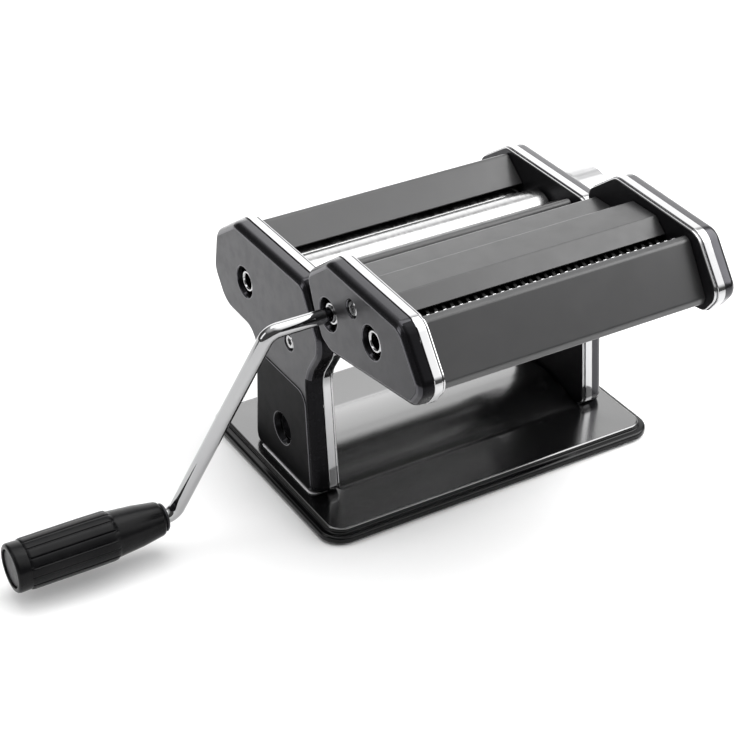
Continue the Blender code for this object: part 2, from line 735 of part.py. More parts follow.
def make_crank_rod():
    path = rounded_path(((-79.4, *WIDE_DRIVE), (CRANK_BEND_X, *WIDE_DRIVE),
                         (GRIP_BEND_X, *GRIP_AXIS), (ROD_END_X, *GRIP_AXIS)), 7.2, 6)
    origin = Vector((SOCKET_X[0], *WIDE_DRIVE))
    curve = bpy.data.curves.new("crank_rod", 'CURVE')
    curve.dimensions = '3D'
    curve.bevel_depth = ROD_RADIUS * MM
    curve.bevel_resolution = 3
    curve.use_fill_caps = True
    curve.resolution_u = 1
    curve.render_resolution_u = 0
    spline = curve.splines.new('POLY')
    spline.points.add(len(path) - 1)
    for point, place in zip(spline.points, path):
        point.co = (*((place - origin) * MM), 1.0)
    guide = bpy.data.objects.new("crank_rod_line", curve)
    PARTS.objects.link(guide)
    rod = add_object("crank_rod", curve_mesh(guide), chromed_steel)
    rod.location = origin * MM
    return smooth(rod)


def make_grip():
    low, high = GRIP_X
    bore = ROD_RADIUS + 0.35
    bore_end = ROD_END_X - 1.0
    grip = ((0.0, bore_end), (bore, bore_end), (bore, high), (7.6, high), (8.6, high - 1.2),
            (10.6, high - 12.0), (11.8, high - 24.0), (12.3, high - 26.0), (12.9, high - 72.0),
            (12.9, low + 3.4), (12.2, low + 2.4), (0.0, low + 2.4))
    turned("crank_grip", grip, GRIP_AXIS, gloss_black, 18)
    cap = ((0.0, low + 2.0), (11.6, low + 2.0), (11.6, low + 0.8), (10.6, low), (8.4, low),
           (7.8, low + 0.7), (0.0, low + 0.7))
    turned("grip_cap", cap, GRIP_AXIS, black_plastic, 18)
    collar = bored_disc(7.2, ROD_RADIUS + GAP, (high + 0.4, high + 2.2), 0.5)
    turned("grip_collar", collar, GRIP_AXIS, black_plastic)


# ---------------------------------------------------------------- moving groups
def joint_empty(name, place):
    empty = bpy.data.objects.new(name, None)
    empty.empty_display_size = 0.01
    empty.location = Vector(place) * MM
    PARTS.objects.link(empty)
    return empty


def attach(parent, names):
    bpy.context.view_layer.update()
    for name in names:
        child = bpy.data.objects[name]
        child.parent = parent
        child.matrix_parent_inverse = parent.matrix_world.inverted()


def group_moving_pieces():
    rear = joint_empty("axis_rear_roller", (0.0, *REAR_ROLLER))
    attach(rear, ("sheet_roller_rear", "roller_gear_rear", "socket_sheet_rollers"))
    carrier = joint_empty("slide_roller_carrier", (0.0, *FRONT_ROLLER))
    attach(carrier, ("bush_front_left", "bush_front_right"))
    front = joint_empty("axis_front_roller", (0.0, *FRONT_ROLLER))
    attach(front, ("sheet_roller_front", "roller_gear_front"))
    attach(carrier, ("axis_front_roller",))
    knob = joint_empty("axis_regulator", (0.0, *FRONT_ROLLER))
    attach(knob, ("regulator_shaft", "regulator_knob", "knob_cap"))
    cutter = joint_empty("slide_cutter_attachment", (0.0, -42.8, 93.6))
    attach(cutter, [obj.name for obj in PARTS.objects
                    if obj.name.startswith(("cutter_", "comb_", "rail_hook"))])
    for axis_name, axis, names in (
            ("axis_wide_drive", WIDE_DRIVE, ("wide_cutter_drive", "wide_gear_drive",
                                             "socket_wide_cutters")),
            ("axis_wide_idle", WIDE_IDLE, ("wide_cutter_idle", "wide_gear_idle")),
            ("axis_narrow_drive", NARROW_DRIVE, ("narrow_cutter_drive", "narrow_gear_drive",
                                                 "socket_narrow_cutters")),
            ("axis_narrow_idle", NARROW_IDLE, ("narrow_cutter_idle", "narrow_gear_idle"))):
        empty = joint_empty(axis_name, (0.0, *axis))
        attach(empty, names)
        attach(cutter, (axis_name,))
    grip = joint_empty("axis_grip", (GRIP_X[1], *GRIP_AXIS))
    attach(grip, ("crank_grip", "grip_cap"))
    rod = bpy.data.objects["crank_rod"]
    attach(rod, ("axis_grip", "grip_collar"))
    attach(bpy.data.objects["axis_wide_drive"], ("crank_rod",))


def main():
    make_base()
    make_bottom_plate()
    make_feet()
    make_leg_bolts()
    make_body_sides()
    make_cutter_sides()
    make_screws()
    make_tie_rods()
    make_hoppers()
    make_sheet_rollers()
    make_scrapers()
    make_gears()
    make_sockets()
    make_regulator()
    make_cutter_plates()
    make_cutters()
    make_combs()
    make_rail_hooks()
    make_crank_rod()
    make_grip()
    group_moving_pieces()


clear_scene()
PARTS = new_collection("pasta_roller_machine")
CUTTERS = new_collection("cutters")
main()
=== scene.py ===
import math

import bmesh
import bpy
from mathutils import Matrix, Vector


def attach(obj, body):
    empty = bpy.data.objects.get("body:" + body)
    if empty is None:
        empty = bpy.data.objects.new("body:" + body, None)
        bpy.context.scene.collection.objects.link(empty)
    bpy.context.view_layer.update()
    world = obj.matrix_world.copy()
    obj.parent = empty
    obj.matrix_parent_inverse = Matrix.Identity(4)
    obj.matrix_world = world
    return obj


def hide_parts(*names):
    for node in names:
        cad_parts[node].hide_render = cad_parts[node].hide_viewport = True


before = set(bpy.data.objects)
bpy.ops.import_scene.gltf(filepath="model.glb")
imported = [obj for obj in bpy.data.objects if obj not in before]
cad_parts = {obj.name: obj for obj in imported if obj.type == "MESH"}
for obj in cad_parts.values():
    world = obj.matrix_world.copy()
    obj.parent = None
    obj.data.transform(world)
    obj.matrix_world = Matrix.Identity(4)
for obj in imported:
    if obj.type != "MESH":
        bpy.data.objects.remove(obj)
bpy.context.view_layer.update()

MM = 0.001

# ------------------------------------------------------------------ dimensions, millimetres
WEB_X = 76.0                                  # inner side of the chromed frames
COVER_X = 82.35                               # where a cover meets its frame
FACE_X = 90.0                                 # outer face of the covers
BAND_X = 89.3                                 # where the bevel turns over into the face
FLOOR_Z = 7.8                                 # lowest edge of the body's sides
LEG_TOP_Z = 75.0
BODY_COVER_GROW = 4.2                         # how far each shell stands out from its outline
BODY_FRAME_GROW = 4.9
CUTTER_COVER_GROW = 2.8
CUTTER_FRAME_GROW = 3.3
BASE_HALF = (100.4, 68.4)
BASE_CORNER = 12.6
RIM_TOP_Z = 7.0
HUMP_HALF = (75.4, 34.8)
HUMP_Z = (7.4, 14.2)
HUMP_CORNER = 2.0
FEET = ((-84, -53), (84, -53), (-84, 53), (84, 53))
BODY_CORNERS = (
    (46.4, 125.3, 6.5), (-22.0, 125.3, 3.5), (-38.4, 98.8, 11.0), (-24.2, 77.4, 24.0),
    (-30.6, 8.6, 4.5), (28.0, 8.6, 2.7), (24.3, 76.5, 12.6), (59.4, 77.4, 12.6),
    (70.0, 91.8, 9.0), (66.6, 111.6, 4.5),
)
CUTTER_CORNERS = (
    (-29.7, 135.9, 4.5), (-49.1, 150.5, 7.0), (-112.7, 148.9, 8.0), (-130.1, 126.0, 5.5),
    (-123.3, 116.6, 5.4), (-51.3, 105.5, 7.2), (-43.3, 108.5, 5.4), (-35.6, 121.5, 13.0),
)
REAR_ROLLER = (37.4, 99.0)
FRONT_ROLLER = (11.0, 106.3)
FRONT_ROLLER_OUT = (8.8, 106.9)              # its place at the widest setting
WIDE_DRIVE = (-49.5, 124.4)
WIDE_IDLE = (-67.8, 127.0)
NARROW_DRIVE = (-89.4, 130.1)
NARROW_IDLE = (-107.3, 125.5)
BODY_SCREW = (-9.1, 87.8)
CUTTER_SCREW = (-71.5, 138.9)
CLAMP_HOLE = (-0.7, 31.2)
GRIP_AXIS = (-23.7, 19.4)
ROLLER_RADIUS = 13.5
CUTTER_RADIUS = 9.8
WIDE_PITCH = 13.0
NARROW_PITCH = 4.4
COMB_DROP = 11.3                              # from a cutter's axis to its comb
SCRAPER_DROP = 15.9
SHEET_HALF = 75.6                             # half length of the folded sheets
SHEET_THICK = 1.0
ROD_RADIUS = 3.6
ROD_BEND = 7.2
ROD_SWELL = 0.25
PHOTO_PX = 736.0
SENSOR_MM = 36.0


# ------------------------------------------------------------------ node materials
NOISE_SPAN = (0.35, 0.65)                     # the part of a noise's range that is used


class Nodes:
    """Small helper that builds one Principled material from procedural textures."""

    def __init__(self, name, colour, roughness, metallic=0.0):
        self.mat = bpy.data.materials.new(name)
        self.mat.use_nodes = True
        self.tree = self.mat.node_tree
        self.shader = self.tree.nodes["Principled BSDF"]
        self.shader.inputs["Base Color"].default_value = (*colour, 1.0)
        self.shader.inputs["Roughness"].default_value = roughness
        self.shader.inputs["Metallic"].default_value = metallic
        self.height = None

    def add(self, kind, **values):
        node = self.tree.nodes.new(kind)
        for key, value in values.items():
            setattr(node, key, value)
        return node

    def link(self, a, b):
        self.tree.links.new(a, b)

    def noise(self, scale, stretch=(1.0, 1.0, 1.0), detail=3.0, rough=0.55):
        coords = self.add("ShaderNodeTexCoord")
        mapping = self.add("ShaderNodeMapping")
        mapping.inputs["Scale"].default_value = stretch
        texture = self.add("ShaderNodeTexNoise")
        texture.inputs["Scale"].default_value = scale
        texture.inputs["Detail"].default_value = detail
        texture.inputs["Roughness"].default_value = rough
        self.link(coords.outputs["Object"], mapping.inputs["Vector"])
        self.link(mapping.outputs["Vector"], texture.inputs["Vector"])
        return texture.outputs["Fac"]

    def colours(self, source, first, second):
        ramp = self.add("ShaderNodeValToRGB")
        for stop, place, colour in zip(ramp.color_ramp.elements, NOISE_SPAN, (first, second)):
            stop.position = place
            stop.color = (*colour, 1.0)
        self.link(source, ramp.inputs["Fac"])
        self.link(ramp.outputs["Color"], self.shader.inputs["Base Color"])

    def roughness(self, source, low, high):
        node = self.add("ShaderNodeMapRange")
        node.inputs["From Min"].default_value, node.inputs["From Max"].default_value = NOISE_SPAN
        node.inputs["To Min"].default_value = low
        node.inputs["To Max"].default_value = high
        self.link(source, node.inputs["Value"])
        self.link(node.outputs["Result"], self.shader.inputs["Roughness"])

    def bump(self, source, strength, distance):
        node = self.add("ShaderNodeBump")
        node.inputs["Strength"].default_value = strength
        node.inputs["Distance"].default_value = distance
        self.link(source, node.inputs["Height"])
        if self.height is not None:
            self.link(self.height, node.inputs["Normal"])
        self.height = node.outputs["Normal"]
        self.link(self.height, self.shader.inputs["Normal"])


def satin_plastic(name="satin_plastic", shade=0.008, low=0.30, high=0.38, level=0.5):
    m = Nodes(name, (shade, shade, shade), low)
    m.colours(m.noise(38.0), (shade * 0.92, shade * 0.90, shade),
              (shade * 1.12, shade * 1.08, shade * 1.2))
    m.roughness(m.noise(160.0), low, high)
    m.bump(m.noise(2600.0, detail=2.0), 0.10, 0.00004)
    m.shader.inputs["Specular IOR Level"].default_value = level
    m.shader.inputs["Specular Tint"].default_value = (0.92, 0.91, 1.0, 1.0)
    return m.mat


def gloss_plastic():
    m = Nodes("gloss_plastic", (0.008, 0.008, 0.009), 0.2)
    m.colours(m.noise(60.0), (0.004, 0.004, 0.0045), (0.007, 0.007, 0.0075))
    m.roughness(m.noise(240.0), 0.16, 0.27)
    m.bump(m.noise(900.0), 0.05, 0.00005)
    m.shader.inputs["Specular IOR Level"].default_value = 0.10
    return m.mat


def chrome(name="chrome", low=0.04, high=0.10, shade=0.46):
    m = Nodes(name, (shade, shade, shade), low, 1.0)
    m.colours(m.noise(25.0), (shade * 0.97, shade * 0.97, shade * 0.985),
              (shade * 1.04, shade * 1.04, shade * 1.045))
    m.roughness(m.noise(130.0, detail=5.0), low, high)
    m.bump(m.noise(70.0, detail=1.0), 0.05, 0.0003)
    return m.mat


def ground_steel(name, stretch, low=0.18, high=0.34, shade=0.62):
    m = Nodes(name, (shade, shade, shade), low, 1.0)
    lines = m.noise(900.0, stretch, detail=4.0, rough=0.7)
    m.colours(lines, (shade * 0.93, shade * 0.93, shade * 0.94),
              (shade * 1.07, shade * 1.07, shade * 1.06))
    m.roughness(m.noise(500.0, stretch, detail=3.0), low, high)
    m.bump(lines, 0.12, 0.00004)
    return m.mat


def painted_sheet(name="painted_sheet", shade=0.026, low=0.28, high=0.36):
    m = Nodes(name, (shade, shade, shade), low)
    m.colours(m.noise(45.0), (shade * 0.93, shade * 0.93, shade * 0.96),
              (shade * 1.08, shade * 1.07, shade * 1.10))
    m.roughness(m.noise(120.0), low, high)
    m.bump(m.noise(1100.0, detail=2.0), 0.09, 0.00006)
    m.bump(m.noise(90.0, detail=1.0), 0.04, 0.0003)
    return m.mat


def gloss_enamel(name="gloss_enamel", ior=2.25, level=0.5):
    m = Nodes(name, (0.006, 0.006, 0.0065), 0.2)
    m.colours(m.noise(30.0), (0.0015, 0.0015, 0.0017), (0.0025, 0.0025, 0.0028))
    m.roughness(m.noise(400.0), 0.16, 0.19)
    m.bump(m.noise(900.0, detail=2.0), 0.03, 0.00004)
    m.shader.inputs["IOR"].default_value = ior
    m.shader.inputs["Specular IOR Level"].default_value = level
    return m.mat


def rubber():
    m = Nodes("foot_rubber", (0.02, 0.02, 0.02), 0.8)
    m.colours(m.noise(200.0), (0.014, 0.014, 0.014), (0.028, 0.028, 0.028))
    m.roughness(m.noise(400.0), 0.7, 0.9)
    m.bump(m.noise(1500.0), 0.3, 0.0001)
    return m.mat


def natural_plastic():
    m = Nodes("natural_plastic", (0.66, 0.64, 0.58), 0.5)
    m.colours(m.noise(90.0), (0.62, 0.60, 0.54), (0.70, 0.68, 0.62))
    m.roughness(m.noise(300.0), 0.42, 0.58)
    m.bump(m.noise(1500.0), 0.1, 0.00005)
    return m.mat


def floor_paper():
    m = Nodes("floor_paper", (0.93, 0.93, 0.93), 0.75)
    m.colours(m.noise(3.0), (0.925, 0.925, 0.925), (0.94, 0.94, 0.94))
    m.roughness(m.noise(40.0), 0.7, 0.8)
    m.bump(m.noise(600.0), 0.02, 0.0001)
    return m.mat


PLASTIC = satin_plastic(level=0.44)
# Dark satin plastic of the knob cap and grip collar, also used as painted shade on the pans' inner
# webs, in the clamp holes and in the cutter slot.
PLASTIC_DARK_AND_PAINTED_SHADE = satin_plastic("satin_plastic_dark_and_painted_shade", 0.008, 0.30, 0.42, level=0.3)
# Painted shade: near-black, almost unreflecting copy of the cover plastic for the leg pads.
LEG_PLASTIC_PAINTED_SHADE = satin_plastic("leg_plastic_painted_shade", 0.004, 0.30, 0.38, level=0.03)
# Painted shade: darker, duller copy of the cover plastic for the left covers' front-facing walls.
WALL_PLASTIC_PAINTED_SHADE = satin_plastic("wall_plastic_painted_shade", 0.004, 0.24, 0.30, level=0.08)
# Painted sheen: darker but glossier copy of the cover plastic for the covers' bevel bands.
BEVEL_PLASTIC_PAINTED_SHEEN = satin_plastic("bevel_plastic_painted_sheen", 0.004, 0.16, 0.20, level=0.5)
# Painted highlight: glossy copy of the cover plastic for the covers' creases and the leg pads'
# edges.
EDGE_PLASTIC_PAINTED_HIGHLIGHT = satin_plastic("edge_plastic_painted_highlight", 0.006, 0.16, 0.20, level=0.9)
DISC_PLASTIC = satin_plastic("disc_plastic", 0.008, 0.34, 0.42, level=0.20)
GLOSS = gloss_plastic()
CHROME = chrome()
# Painted shade: darker copy of the chrome for the crank rod.
CRANK_CHROME_PAINTED_SHADE = chrome("crank_chrome_painted_shade", 0.03, 0.07, 0.36)
KNOB_METAL = chrome("knob_metal", 0.26, 0.36, 0.36)
# Painted highlight: bright metal for the small teeth in the cutter slot.
PAINTED_HIGHLIGHT_METAL = chrome("painted_highlight_metal", 0.45, 0.55, 0.92)
# Painted highlight: near-white paint for the thin sole line under each leg.
SEAM_PAINTED_HIGHLIGHT = painted_sheet("seam_painted_highlight", 0.78, 0.40, 0.50)
SCREW_STEEL = chrome("screw_steel", 0.16, 0.28, 0.40)
ROLLER_STEEL = ground_steel("roller_steel", (1.0, 0.04, 0.04), 0.14, 0.26, 0.40)
CUTTER_STEEL = ground_steel("cutter_steel", (1.0, 0.06, 0.06), 0.2, 0.36, 0.60)
# Painted shade: near-black copy of the cutter steel for the narrow cutters and their combs.
NARROW_STEEL_PAINTED_SHADE = ground_steel("dark_steel", (1.0, 0.06, 0.06), 0.4, 0.5, 0.012)
STRIP_STEEL = ground_steel("strip_steel", (0.05, 1.0, 1.0), 0.2, 0.36, 0.58)
GEAR_STEEL = ground_steel("gear_steel", (0.3, 1.0, 1.0), 0.28, 0.45, 0.42)
SHEET = painted_sheet()
ENAMEL = gloss_enamel()
# Painted shade: duller copy of the base enamel for the stepped rim.
RIM_ENAMEL_PAINTED_SHADE = gloss_enamel("rim_enamel_painted_shade", 1.5, 0.22)
RUBBER = rubber()
NATURAL = natural_plastic()
PAPER = floor_paper()


# ------------------------------------------------------------------ outline geometry
def unit(vector):
    return vector / vector.length


def corner_arc(before, corner, after, radius, steps):
    d_in = unit(corner - before)
    d_out = unit(after - corner)
    turn = math.atan2(d_in.x * d_out.y - d_in.y * d_out.x, d_in.dot(d_out))
    if abs(turn) < 1e-4 or radius <= 0.0:
        return [corner]
    side = 1.0 if turn > 0.0 else -1.0
    start = corner - d_in * radius * math.tan(abs(turn) / 2)
    centre = start + Vector((-d_in.y, d_in.x)) * side * radius
    arm = start - centre
    return [centre + Matrix.Rotation(turn * i / steps, 2) @ arm for i in range(steps + 1)]


def outline(corners, grow=0.0, steps=10, floor=None):
    """Closed outline with rounded corners, moved outward by grow, its lowest edge on the floor."""
    if floor is not None:
        corners = [(c[0], floor + grow, 5.0 - grow) if c[1] < floor + 2.0 else c for c in corners]
    count = len(corners)
    base = [Vector((c[0], c[1])) for c in corners]
    moved = []
    radii = []
    for i in range(count):
        d_in = unit(base[i] - base[i - 1])
        d_out = unit(base[(i + 1) % count] - base[i])
        n_in = Vector((d_in.y, -d_in.x))
        n_out = Vector((d_out.y, -d_out.x))
        moved.append(base[i] + (n_in + n_out) * (grow / (1.0 + n_in.dot(n_out))))
        convex = d_in.x * d_out.y - d_in.y * d_out.x > 0.0
        radii.append(max(corners[i][2] + (grow if convex else -grow), 0.4))
    points = []
    for i in range(count):
        points += corner_arc(moved[i - 1], moved[i], moved[(i + 1) % count], radii[i], steps)
    return points


def rounded_rectangle(half_x, half_y, radius, steps=12):
    corners = ((half_x, half_y, radius), (-half_x, half_y, radius),
               (-half_x, -half_y, radius), (half_x, -half_y, radius))
    return outline(corners, steps=steps)


def rounded_line(points, radius, steps=6):
    line = [Vector(p) for p in points]
    radii = radius if isinstance(radius, (list, tuple)) else [radius] * len(line)
    result = [line[0]]
    for i in range(1, len(line) - 1):
        result += corner_arc(line[i - 1], line[i], line[i + 1], radii[i], steps)
    result.append(line[-1])
    return result


def quarter(radius, steps=5):
    """Inset and depth pairs of a quarter round, from the side wall to the face."""
    return [(radius * (1 - math.cos(a)), radius * (1 - math.sin(a)))
            for a in (math.pi / 2 * i / steps for i in range(steps + 1))]


# ------------------------------------------------------------------ mesh pieces
def finish_piece(name, bm, body, material, node=None, angle=32.0, weighted=True):
    """Object from a bmesh in millimetres, riding on a body and standing for a CAD node."""
    bmesh.ops.scale(bm, vec=(MM, MM, MM), verts=bm.verts)
    bmesh.ops.recalc_face_normals(bm, faces=bm.faces)
    mesh = bpy.data.meshes.new(name)
    bm.to_mesh(mesh)
    bm.free()
    obj = bpy.data.objects.new(name, mesh)
    bpy.context.scene.collection.objects.link(obj)
    mesh.materials.append(material)
    shade(obj, angle, weighted)
    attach(obj, body)
    if node is not None:
        nodes = node if isinstance(node, (list, tuple)) else [node]
        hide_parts(*nodes)
    return obj


def shade(obj, angle, weighted=True):
    obj.data.shade_smooth()
    obj.data.set_sharp_from_angle(angle=math.radians(angle))
    if weighted:
        normals = obj.modifiers.new("normals", 'WEIGHTED_NORMAL')
        normals.keep_sharp = True


def add_loft(bm, rings, start=True, end=True):
    """Skin through matching rings of 3D points, with a face on each end where asked."""
    loops = [[bm.verts.new(p) for p in ring] for ring in rings]
    count = len(loops[0])
    for low, high in zip(loops, loops[1:]):
        for i in range(count):
            j = (i + 1) % count
            bm.faces.new((low[i], low[j], high[j], high[i]))
    if start:
        bm.faces.new(list(reversed(loops[0])))
    if end:
        bm.faces.new(loops[-1])
    return loops


def add_turned(bm, profile, axis, steps=48, flute=None):
    """Solid of revolution about a line along X; profile is (radius, x). flute varies the radius."""
    rings = []
    for radius, x in profile:
        if radius <= 0.0:
            rings.append([bm.verts.new((x, axis[0], axis[1]))])
            continue
        ring = []
        for i in range(steps):
            angle = 2 * math.pi * i / steps
            r = radius if flute is None else flute(radius, x, angle)
            ring.append(bm.verts.new((x, axis[0] + r * math.cos(angle),
                                      axis[1] + r * math.sin(angle))))
        rings.append(ring)
    closed = len(rings[0]) > 1 and len(rings[-1]) > 1
    pairs = list(zip(rings, rings[1:])) + ([(rings[-1], rings[0])] if closed else [])
    for a, b in pairs:
        for i in range(steps):
            j = (i + 1) % steps
            if len(a) == 1:
                bm.faces.new((a[0], b[j], b[i]))
            elif len(b) == 1:
                bm.faces.new((a[i], a[j], b[0]))
            else:
                bm.faces.new((a[i], a[j], b[j], b[i]))


def turned_piece(name, profile, axis, body, material, node=None, steps=48, flute=None,
                 angle=32.0):
    bm = bmesh.new()
    add_turned(bm, profile, axis, steps, flute)
    return finish_piece(name, bm, body, material, node, angle)


def soften(profile, radius=0.5, steps=3, keep_ends=True):
    """Rounds the inner corners of a turned profile."""
    points = [Vector(p) for p in profile]
    if not keep_ends:
        ring = []
        count = len(points)
        for i in range(count):
            a, b, c = points[i - 1], points[i], points[(i + 1) % count]
            limit = 0.45 * min((b - a).length, (c - b).length)
            ring += [(p.x, p.y) for p in corner_arc(a, b, c, min(radius, limit), steps)]
        return ring
    result = [tuple(points[0])]
    for a, b, c in zip(points, points[1:], points[2:]):
        limit = 0.45 * min((b - a).length, (c - b).length)
        result += [(p.x, p.y) for p in corner_arc(a, b, c, min(radius, limit), steps)]
    result.append(tuple(points[-1]))
    return result


def boolean_cut(obj, cutters, angle=32.0):
    """Cuts turned holes out of a piece and keeps the result as its mesh."""
    objects = []
    for profile, axis in cutters:
        bm = bmesh.new()
        add_turned(bm, profile, axis, 64)
        bmesh.ops.scale(bm, vec=(MM, MM, MM), verts=bm.verts)
        bmesh.ops.recalc_face_normals(bm, faces=bm.faces)
        mesh = bpy.data.meshes.new("cutter")
        bm.to_mesh(mesh)
        bm.free()
        cutter = bpy.data.objects.new("cutter", mesh)
        bpy.context.scene.collection.objects.link(cutter)
        objects.append(cutter)
        boolean = obj.modifiers.new("hole", 'BOOLEAN')
        boolean.operation = 'DIFFERENCE'
        boolean.solver = 'EXACT'
        boolean.object = cutter
    for modifier in [m for m in obj.modifiers if m.type == 'WEIGHTED_NORMAL']:
        obj.modifiers.remove(modifier)
    bpy.context.view_layer.update()
    graph = bpy.context.evaluated_depsgraph_get()
    mesh = bpy.data.meshes.new_from_object(obj.evaluated_get(graph))
    obj.modifiers.clear()
    old = obj.data
    obj.data = mesh
    bpy.data.meshes.remove(old)
    for cutter in objects:
        mesh = cutter.data
        bpy.data.objects.remove(cutter, do_unlink=True)
        bpy.data.meshes.remove(mesh)
    shade(obj, angle)


def side_shell(name, corners, outer, inner, side, floor, body, material, node, cutters):
    """Pan or cap made from outlines at (x, grow) levels, outside and inside, with round holes."""
    def rings(levels, low):
        return [[(side * x, p.x, p.y) for p in outline(corners, grow, floor=low)]
                for x, grow in levels]
    bm = bmesh.new()
    outside = add_loft(bm, rings(outer, floor), start=False)
    inside = add_loft(bm, rings(inner, None if floor is None else floor + 1.1), start=False)
    count = len(outside[0])
    for i in range(count):
        j = (i + 1) % count
        bm.faces.new((outside[0][i], outside[0][j], inside[0][j], inside[0][i]))
    obj = finish_piece(name, bm, body, material, node)
    boolean_cut(obj, cutters)
    # Painted light on the one cover plastic: on the left side the front-facing walls take the
    # darker, duller copy (painted shade), the crease faces past BAND_X the glossy copy (painted
    # highlight) and the rest of the bevel band the glossier dark copy (painted sheen).
    if material is PLASTIC:
        for extra in (WALL_PLASTIC_PAINTED_SHADE, BEVEL_PLASTIC_PAINTED_SHEEN, EDGE_PLASTIC_PAINTED_HIGHLIGHT):
            obj.data.materials.append(extra)
        for face in obj.data.polygons:
            reach = abs(face.center.x)
            if reach > (FACE_X - 0.01) * MM or reach < (COVER_X - 0.05) * MM:
                continue
            low_front_painted_shade = face.normal.y < -0.1 and face.center.z < LEG_TOP_Z * MM
            if side < 0 and (low_front_painted_shade or (face.normal.y < -0.3 and abs(face.normal.x) < 0.5)):
                face.material_index = 1
            elif reach > BAND_X * MM:
                face.material_index = 3
            else:
                face.material_index = 2
    else:
        # Painted shade: the chrome pan's inward-facing web takes dark plastic in place of its dark
        # reflections.
        obj.data.materials.append(PLASTIC_DARK_AND_PAINTED_SHADE)
        for face in obj.data.polygons:
            if face.normal.x * side < -0.9 and abs(face.center.x) < (WEB_X + 0.3) * MM:
                face.material_index = 1
    return obj


def strip_piece(name, section, half, thickness, body, material, node=None, bend=2.0,
                edge=0.25):
    """Bent sheet along X with a rounded section line and softened long edges."""
    line = rounded_line(section, bend)
    count = len(line)
    normals = []
    for i in range(count):
        a = line[max(i - 1, 0)]
        b = line[min(i + 1, count - 1)]
        d = unit(b - a)
        normals.append(Vector((-d.y, d.x)))
    up = [p + n * thickness / 2 for p, n in zip(line, normals)]
    down = [p - n * thickness / 2 for p, n in zip(line, normals)]
    ends = []
    for index, sign in ((0, -1.0), (count - 1, 1.0)):
        along = unit(line[1] - line[0]) if index == 0 else unit(line[-1] - line[-2])
        ends.append(line[index] + along * sign * thickness * 0.3)
    loop = up + [ends[1]] + list(reversed(down)) + [ends[0]]
    rings = []
    pull = edge / thickness
    for x, shrink in ((-half, pull), (-half + edge, 0.0), (half - edge, 0.0), (half, pull)):
        ring = []
        mids = line + [ends[1]] + list(reversed(line)) + [ends[0]]
        for p, mid in zip(loop, mids):
            q = p + (mid - p) * shrink * 0.5
            ring.append((x, q.x, q.y))
        rings.append(ring)
    bm = bmesh.new()
    add_loft(bm, rings)
    bmesh.ops.triangulate(bm, faces=[f for f in bm.faces if len(f.verts) > 4])
    return finish_piece(name, bm, body, material, node, angle=40.0)


# ------------------------------------------------------------------ base
def hump_levels(steps=14):
    """End inset, half depth and height of the contours of the low arched hump."""
    half = HUMP_HALF[1]
    low, high = HUMP_Z
    radius = (half ** 2 + (high - low) ** 2) / (2.0 * (high - low))
    levels = [(0.0, half + 0.5, low)]
    for step in range(1, steps + 1):
        half_y = half * (1.0 - step / (steps + 1.0))
        z = high - radius + math.sqrt(radius ** 2 - half_y ** 2)
        levels.append((1.2 * step / steps, half_y, z))
    return levels


def make_base():
    half_x, half_y = BASE_HALF
    levels = [(1.0, 1.4), (0.25, 1.5), (0.0, 1.8), (0.0, 3.4)]
    levels += [(inset, 3.4 + 1.5 - depth) for inset, depth in quarter(1.5)][1:]
    levels += [(3.2, 5.0), (3.6, 5.15), (3.9, 5.5), (4.1, 6.2)]
    levels += [(4.1 + inset, 6.2 + 1.2 - depth) for inset, depth in quarter(1.2)][1:]
    rings = []
    for inset, z in levels:
        ring = rounded_rectangle(half_x - inset, half_y - inset, max(BASE_CORNER - inset, 1.0))
        rings.append([(p.x, p.y, z) for p in ring])
    for inset_x, half, z in hump_levels():
        ring = rounded_rectangle(HUMP_HALF[0] - inset_x, half, HUMP_CORNER)
        rings.append([(p.x, p.y, z) for p in ring])
    bm = bmesh.new()
    top = add_loft(bm, rings, start=False)
    under = []
    for ring in rings[1:]:
        under.append([(x * 0.99, y * 0.985, z - 1.0 if z > 3.0 else z) for x, y, z in ring])
    low = add_loft(bm, under, start=False)
    count = len(top[0])
    for i in range(count):
        j = (i + 1) % count
        bm.faces.new((top[0][i], top[0][j], low[0][j], low[0][i]))
    base = finish_piece("base_shell", bm, "machine_body", ENAMEL, "base_plate")
    # Painted shade: faces below RIM_TOP_Z take the duller copy of the enamel.
    base.data.materials.append(RIM_ENAMEL_PAINTED_SHADE)
    for face in base.data.polygons:
        if face.center.z < RIM_TOP_Z * MM:
            face.material_index = 1


def make_feet():
    profile = ((0.0, 6.2), (3.2, 6.2), (3.2, 2.8), (7.8, 2.8), (8.0, 2.4), (8.0, 0.7), (7.4, 0.0),
               (6.4, 0.0), (6.2, 0.35), (0.0, 0.35))
    for i, (x, y) in enumerate(FEET):
        bm = bmesh.new()
        add_turned(bm, soften(profile, 0.3), (0.0, 0.0), 40)
        for v in bm.verts:
            v.co = Vector((x + v.co.y, y + v.co.z, v.co.x))
        finish_piece("rubber_foot_%d" % (i + 1), bm, "machine_body", RUBBER, "foot_%d" % (i + 1))


# ------------------------------------------------------------------ sides
def port(side, wide, narrow, deep=82.0):
    """Cutter profile of a round port with a soft funnel mouth."""
    profile = [(0.0, 91.0), (wide + 0.9, 91.0), (wide + 0.9, 90.02), (wide + 0.35, 89.9),
               (wide, 89.5), (wide - 0.25, 88.9), (narrow + 0.35, 86.9), (narrow, 86.4),
               (narrow, deep), (0.0, deep)]
    return [(r, side * x) for r, x in profile]


